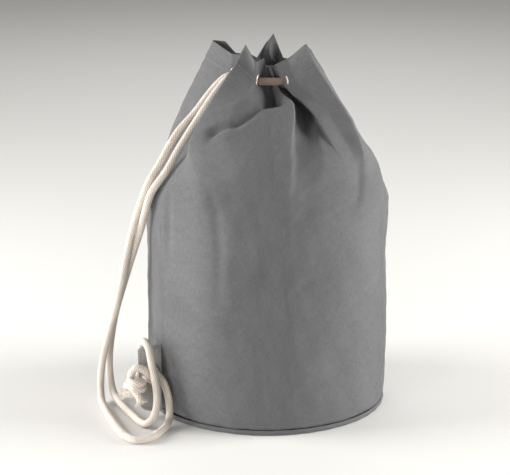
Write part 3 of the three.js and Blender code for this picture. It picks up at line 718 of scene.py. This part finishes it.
def eyelet_rings(name, place, axis, bore, flange, half):
    """The eyelet's rolled flange and barrel, and its washer, turned about an axis."""
    steps, rolled = 64, 14
    thick = 0.0009
    crown = (flange + bore) / 2
    outline = [(bore, -half - thick)]
    outline += [(bore, half * 0.4)]
    for k in range(rolled + 1):
        angle = math.pi * (1 - k / rolled)
        outline.append((crown + (flange - bore) / 2 * math.cos(angle), half + thick * math.sin(angle)))
    outline += [(flange, half), (bore + 0.0008, half), (bore + 0.0008, -half)]
    washer = [(bore + 0.0008, -half), (flange, -half)]
    for k in range(rolled + 1):
        angle = math.pi * k / rolled
        washer.append((crown + (flange - bore) / 2 * math.cos(angle), -half - thick * math.sin(angle)))
    turn = axis.to_track_quat("Z", "Y")
    rings = []
    for label, section in (("", outline), ("_washer", washer)):
        section = np.array(section + section[:1])
        angles = np.arange(steps) / steps * 2 * math.pi
        grid = np.stack([
            section[:, 0][:, None] * np.cos(angles),
            section[:, 0][:, None] * np.sin(angles),
            np.repeat(section[:, 1][:, None], steps, axis=1),
        ], axis=2)
        grid = grid @ np.array(turn.to_matrix()).T + np.array(place)
        rings.append(grid_object(name + label, grid, True, None, nickel))
    return joined(name, rings)


for i in range(8):
    way = eyelet_ways[i] * (-1 if i % 2 == 0 else 1)
    ring = eyelet_rings(f"eyelet_{i + 1}", eyelet_places[i], way, 0.0053, 0.008, 0.0008)
    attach(ring, "bag")
    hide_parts(f"mouth_eyelet_{i + 1}", f"mouth_washer_{i + 1}")


# ---- Base -----------------------------------------------------------------------------------
# A round panel of the same canvas. The wall's foot is turned under and sewn to it, which leaves a
# low raised band round the bottom.
angles = np.arange(360) / 360 * 2 * math.pi
band_outline = []
for k in range(25):
    angle = 2 * math.pi * k / 24
    band_outline.append((0.1280 + 0.0011 * math.cos(angle), 0.0028 + 0.0026 * math.sin(angle)))
band_outline = np.array(band_outline)
ripple = 1 + 0.0016 * np.sin(angles * 40) + 0.0010 * np.sin(angles * 7)
band_grid = np.stack([
    band_outline[:, 0][:, None] * ripple * np.cos(angles),
    band_outline[:, 0][:, None] * ripple * np.sin(angles),
    np.repeat(band_outline[:, 1][:, None], len(angles), axis=1),
], axis=2)
band_uvs = (2 * math.pi * BAG_RADIUS, np.arange(25) * 0.0006)
band = grid_object("base_band", band_grid, True, band_uvs, canvas_cloth)
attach(band, "bag")
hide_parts("base_seam")

radii = np.linspace(0.0004, 0.1258, 60)
crown = 0.0012 * np.sin(radii * 400)[:, None] * np.cos(angles * 3) * 0.15
panel_grid = np.stack([
    radii[:, None] * np.cos(angles),
    radii[:, None] * np.sin(angles),
    0.0010 + crown + 0.0004 * (1 - (radii / 0.126) ** 2)[:, None] + 0 * angles,
], axis=2)
base = grid_object("base_panel_canvas", panel_grid, True, None, canvas_cloth)
layer = base.data.uv_layers.new(name="cloth")
for loop in base.data.loops:
    layer.uv[loop.index].vector = base.data.vertices[loop.vertex_index].co.xy
thickness = base.modifiers.new("thickness", "SOLIDIFY")
thickness.thickness = CLOTH
thickness.offset = 0
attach(base, "bag")
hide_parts("base_panel")


# ---- Side seam ------------------------------------------------------------------------------
# The two edges of the tube, sewn together and turned to lie flat inside the wall.
seam_columns = [
    int(np.argmin(np.abs(turned_by(azimuths[20], SEAM_AZIMUTH + degrees))))
    for degrees in np.linspace(-3, 3, 9)
]
seam_rows = np.arange(3, WALL_ROWS - 2)
strip = cloth[np.ix_(seam_rows, seam_columns)] - cloth_normals[np.ix_(seam_rows, seam_columns)] * 0.0014
seam = grid_object("side_seam_allowance", strip, False, (0.014, risen_length[seam_rows]), canvas_cloth)
thickness = seam.modifiers.new("thickness", "SOLIDIFY")
thickness.thickness = CLOTH
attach(seam, "bag")
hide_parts("side_seam")


# ---- Tab ------------------------------------------------------------------------------------
# A folded piece of canvas caught in the side seam, with a large eyelet for the rope's ends.
TAB_OUT = 0.158
TAB_LOW, TAB_HIGH = 0.0065, 0.0785
TAB_LOW_ROUND, TAB_HIGH_ROUND = 0.016, 0.003  # radii of the tab's outer corners
TAB_THICKNESS = 0.0020
TAB_STITCH_INSET = 0.003
TAB_EYELET = (0.1445, 0.0473)  # from the bag's axis, and up
TAB_EYELET_HOLE = 0.0102
# The tab's canvas is given paler colours than the wall's: painted light on its face.
tab_canvas_painted_light = woven_canvas("grey canvas with painted light", dark="#8f8e8d", light="#bab9b7")
tab_inner = 0.1303
outline = [(tab_inner, TAB_LOW)]
for k in range(13):
    angle = math.radians(-90 + 90 * k / 12)
    x = TAB_OUT - TAB_LOW_ROUND + TAB_LOW_ROUND * math.cos(angle)
    outline.append((x, TAB_LOW + TAB_LOW_ROUND + TAB_LOW_ROUND * math.sin(angle)))
for k in range(7):
    angle = math.radians(90 * k / 6)
    x = TAB_OUT - TAB_HIGH_ROUND + TAB_HIGH_ROUND * math.cos(angle)
    outline.append((x, TAB_HIGH - TAB_HIGH_ROUND + TAB_HIGH_ROUND * math.sin(angle)))
outline.append((tab_inner, TAB_HIGH))
outline = np.array(outline)
closed_outline = np.vstack([outline, outline[:1]])
run = np.concatenate([[0], np.cumsum(np.linalg.norm(np.diff(closed_outline, axis=0), axis=1))])
even = np.linspace(0, run[-1], 200, endpoint=False)
edge = np.stack([np.interp(even, run, closed_outline[:, k]) for k in range(2)], axis=1)
hole_angles = np.arctan2(edge[:, 1] - TAB_EYELET[1], edge[:, 0] - TAB_EYELET[0])
hole = np.stack([
    TAB_EYELET[0] + TAB_EYELET_HOLE * np.cos(hole_angles),
    TAB_EYELET[1] + TAB_EYELET_HOLE * np.sin(hole_angles),
], axis=1)
seam_angle = math.radians(SEAM_AZIMUTH)


def tab_sway(places):
    """How far the tab leans out of its plane at places (from the bag's axis, up)."""
    return 0.0010 * np.sin((places[:, 1] - 0.02) * 55) * (places[:, 0] - tab_inner) / 0.028


tab_grid = []
for k in range(41):
    share = k / 40
    flat = hole * (1 - share) + edge * share
    sway = tab_sway(flat)
    x = flat[:, 0] * math.cos(seam_angle) - sway * math.sin(seam_angle)
    y = flat[:, 0] * math.sin(seam_angle) + sway * math.cos(seam_angle)
    tab_grid.append(np.stack([x, y, flat[:, 1]], axis=1))
tab_grid = np.array(tab_grid)
tab = grid_object("seam_tab", tab_grid, True, None, tab_canvas_painted_light)
layer = tab.data.uv_layers.new(name="cloth")
for loop in tab.data.loops:
    point = tab.data.vertices[loop.vertex_index].co
    layer.uv[loop.index].vector = (math.hypot(point.x, point.y), point.z)
thickness = tab.modifiers.new("thickness", "SOLIDIFY")
thickness.thickness = TAB_THICKNESS
thickness.offset = 0
rounding = tab.modifiers.new("rounding", "BEVEL")
rounding.width = 0.0006
rounding.segments = 2
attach(tab, "tab")
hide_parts("base_tab")

tab_eyelet_place = Vector(polar(SEAM_AZIMUTH, *TAB_EYELET))
tab_eyelet_way = Vector((-math.sin(seam_angle), math.cos(seam_angle), 0))
tab_ring = eyelet_rings("tab_eyelet_ring", tab_eyelet_place, tab_eyelet_way, 0.0090, 0.0124, 0.0014)
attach(tab_ring, "tab")
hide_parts("tab_eyelet", "tab_washer")


# ---- Stitching ------------------------------------------------------------------------------
# Lockstitch in grey cotton thread: round the hem, above the base band, beside the side seam and
# round the edge of the tab.
STITCH_LENGTH = 0.0026
STITCH_PITCH = 0.0033
thread, tree, shader = new_material("grey cotton thread", roughness=0.75)
place = add_node(tree, "TexCoord", {}).outputs["Object"]
twist = add_node(tree, "TexNoise", {"Vector": place, "Scale": 2500, "Detail": 2})
colour = add_node(
    tree, "Mix", {"Factor": twist.outputs["Fac"], 6: linear("#6a6966"), 7: linear("#8a8985")},
    data_type="RGBA",
)
tree.links.new(colour.outputs[2], shader.inputs["Base Color"])


def stitches(name, line, normals):
    """Stitches along a line of points on the cloth, each bedded into it at its ends."""
    run = np.concatenate([[0], np.cumsum(np.linalg.norm(np.diff(line, axis=0), axis=1))])
    starts = np.arange(STITCH_PITCH / 2, run[-1] - STITCH_PITCH / 2, STITCH_PITCH)

    def at(places, values):
        return np.stack([np.interp(places, run, values[:, k]) for k in range(3)], axis=1)

    middles, outs = at(starts, line), at(starts, normals)
    ways = at(starts + STITCH_LENGTH / 2, line) - at(starts - STITCH_LENGTH / 2, line)
    ways /= np.linalg.norm(ways, axis=1, keepdims=True)
    sides = np.cross(ways, outs)
    vertices = []
    for ring in range(7):
        share = ring / 6 * 2 - 1
        thick = 0.00028 * math.sqrt(max(0.02, 1 - share**4))
        rise = 0.00022 - 0.0003 * share**4
        centre = middles + ways * share * STITCH_LENGTH / 2 + outs * rise
        for side in range(6):
            angle = side / 6 * 2 * math.pi
            vertices.append(centre + sides * thick * math.cos(angle) + outs * thick * math.sin(angle))
    vertices = np.stack(vertices, axis=1)
    one = np.array([
        (r * 6 + s, r * 6 + (s + 1) % 6, (r + 1) * 6 + (s + 1) % 6, (r + 1) * 6 + s)
        for r in range(6)
        for s in range(6)
    ])
    faces = (one[None] + np.arange(len(starts))[:, None, None] * 42).reshape(-1, 4)
    mesh = bpy.data.meshes.new(name)
    mesh.from_pydata(vertices.reshape(-1, 3).tolist(), [], faces.tolist())
    mesh.shade_smooth()
    mesh.materials.append(thread)
    made = bpy.data.objects.new(name, mesh)
    bpy.context.scene.collection.objects.link(made)
    return made


def cloth_row(height):
    row = int(np.argmin(np.abs(risen_length - height)))
    face = cloth[row] + cloth_normals[row] * CLOTH / 2
    return np.vstack([face, face[:1]]), np.vstack([cloth_normals[row], cloth_normals[row][:1]])


hem_stitches = stitches("hem_stitches", *cloth_row(CLOTH_HEIGHT - HEM_WIDTH + 0.002))
foot_stitches = stitches("foot_stitches", *cloth_row(0.0105))
column = int(np.argmin(np.abs(turned_by(azimuths[20], SEAM_AZIMUTH + 2.6))))
seam_face = cloth[seam_rows, column] + cloth_normals[seam_rows, column] * CLOTH / 2
above_tab = wall_heights[seam_rows] > 0.082
side_stitches = stitches("side_stitches", seam_face[above_tab], cloth_normals[seam_rows, column][above_tab])
sewing = joined("canvas_stitches", [hem_stitches, foot_stitches, side_stitches])
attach(sewing, "bag")

# Round the tab's edge, a little way in, on both of its faces.
row = [(tab_inner + 0.001, TAB_LOW + TAB_STITCH_INSET)]
row_round = TAB_LOW_ROUND - TAB_STITCH_INSET
for k in range(13):
    angle = math.radians(-90 + 90 * k / 12)
    x = TAB_OUT - TAB_LOW_ROUND + row_round * math.cos(angle)
    row.append((x, TAB_LOW + TAB_LOW_ROUND + row_round * math.sin(angle)))
row_top = TAB_HIGH - TAB_STITCH_INSET
row += [(TAB_OUT - TAB_STITCH_INSET, row_top), (tab_inner + 0.001, row_top)]
row = np.array(row)
run = np.concatenate([[0], np.cumsum(np.linalg.norm(np.diff(row, axis=0), axis=1))])
even = np.linspace(0, run[-1], 120)
row = np.stack([np.interp(even, run, row[:, k]) for k in range(2)], axis=1)
tab_rows = []
for face in (1, -1):
    across = tab_sway(row) + face * TAB_THICKNESS / 2
    line = np.stack([
        row[:, 0] * math.cos(seam_angle) - across * math.sin(seam_angle),
        row[:, 0] * math.sin(seam_angle) + across * math.cos(seam_angle),
        row[:, 1],
    ], axis=1)
    facing = np.tile((-math.sin(seam_angle) * face, math.cos(seam_angle) * face, 0.0), (len(row), 1))
    tab_rows.append(stitches("tab_row", line, facing))
tab_sewing = joined("tab_stitches", tab_rows)
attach(tab_sewing, "tab")


# ---- Floor and light ------------------------------------------------------------------------
floor_material, tree, shader = new_material("pale floor", roughness=0.9)
shader.inputs["Base Color"].default_value = linear("#e6e4e0")
floor_mesh = bpy.data.meshes.new("floor")
floor_mesh.from_pydata([(-6, -6, 0), (6, -6, 0), (6, 6, 0), (-6, 6, 0)], [], [(0, 1, 2, 3)])
floor_mesh.materials.append(floor_material)
floor = bpy.data.objects.new("floor", floor_mesh)
bpy.context.scene.collection.objects.link(floor)


def softbox(name, place, target, size, power):
    data = bpy.data.lights.new(name, "AREA")
    data.shape = "RECTANGLE"
    data.size, data.size_y = size
    data.energy = power
    made = bpy.data.objects.new(name, data)
    made.location = place
    made.rotation_euler = (Vector(target) - Vector(place)).to_track_quat("-Z", "Y").to_euler()
    bpy.context.scene.collection.objects.link(made)
    return made


softbox("left_softbox", (-1.7, -0.05, 0.65), (0, 0, 0.2), (1.1, 1.4), 46)
softbox("right_softbox", (1.7, 0.0, 0.70), (0, 0, 0.2), (1.1, 1.4), 50)
softbox("front_fill", (0.2, -2.3, 0.95), (0, 0, 0.25), (1.2, 1.0), 5)
softbox("low_left_fill", (-0.9, -1.5, 0.28), (-0.1, 0, 0.08), (0.5, 0.3), 10)
softbox("back_softbox", (0.0, 2.2, 2.4), (0, 2.0, 0), (2.0, 1.2), 24)
world = bpy.data.worlds.new("studio")
world.use_nodes = True
world.node_tree.nodes["Background"].inputs["Color"].default_value = linear("#f2f1ef")
world.node_tree.nodes["Background"].inputs["Strength"].default_value = 0.28
bpy.context.scene.world = world
bpy.context.scene.view_settings.view_transform = "Standard"
